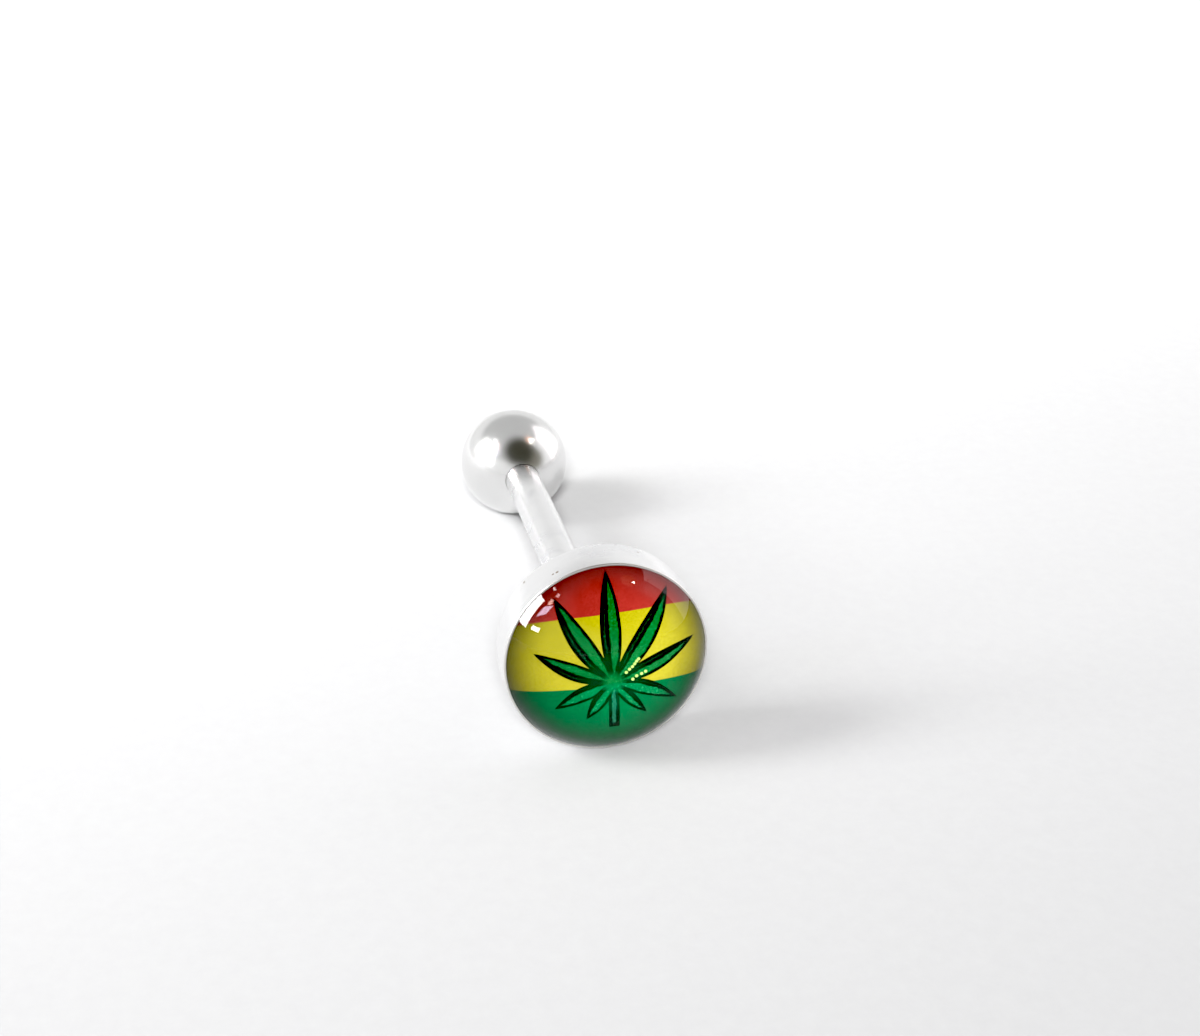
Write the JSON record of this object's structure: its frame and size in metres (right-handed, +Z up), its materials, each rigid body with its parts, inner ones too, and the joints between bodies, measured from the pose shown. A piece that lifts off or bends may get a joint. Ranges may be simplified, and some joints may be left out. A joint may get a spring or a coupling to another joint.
{
  "type": "tongue barbell",
  "caption": "Tongue barbell lying on a surface: a straight round steel bar with a domed picture disc in a steel cup on one end and a ball that screws off the other end.",
  "frame": {"origin": "on the surface that the barbell lies on, under the middle of its bounding box", "axes": "+Z up; +Y from the picture disc towards the ball, with the bar's own axis dropping 4.6 degrees towards the ball; +X to the right seen from the disc's side"},
  "size_m": [0.008, 0.0246, 0.0081],
  "materials": {
    "bar_steel": "mirror polished surgical steel with faint wear scratches",
    "cup_steel": "mirror polished surgical steel with faint wear scratches",
    "print": "printed film with red, yellow and green stripes and a green leaf",
    "clear_resin": "clear glossy doming resin",
    "ball_steel": "mirror polished surgical steel with faint wear scratches"
  },
  "bodies": {
    "root": {"barbell_shaft": "bar_steel", "disc_cup": "cup_steel", "picture_disc": "print", "epoxy_dome": "clear_resin"},
    "ball": {"ball_end": "ball_steel"}
  },
  "joints": [
    {"name": "ball_screw_off", "type": "slide", "parent": "root", "child": "ball", "axis": [0, 0.9968, -0.0805], "range_m": [0, 0.0045]}
  ]
}
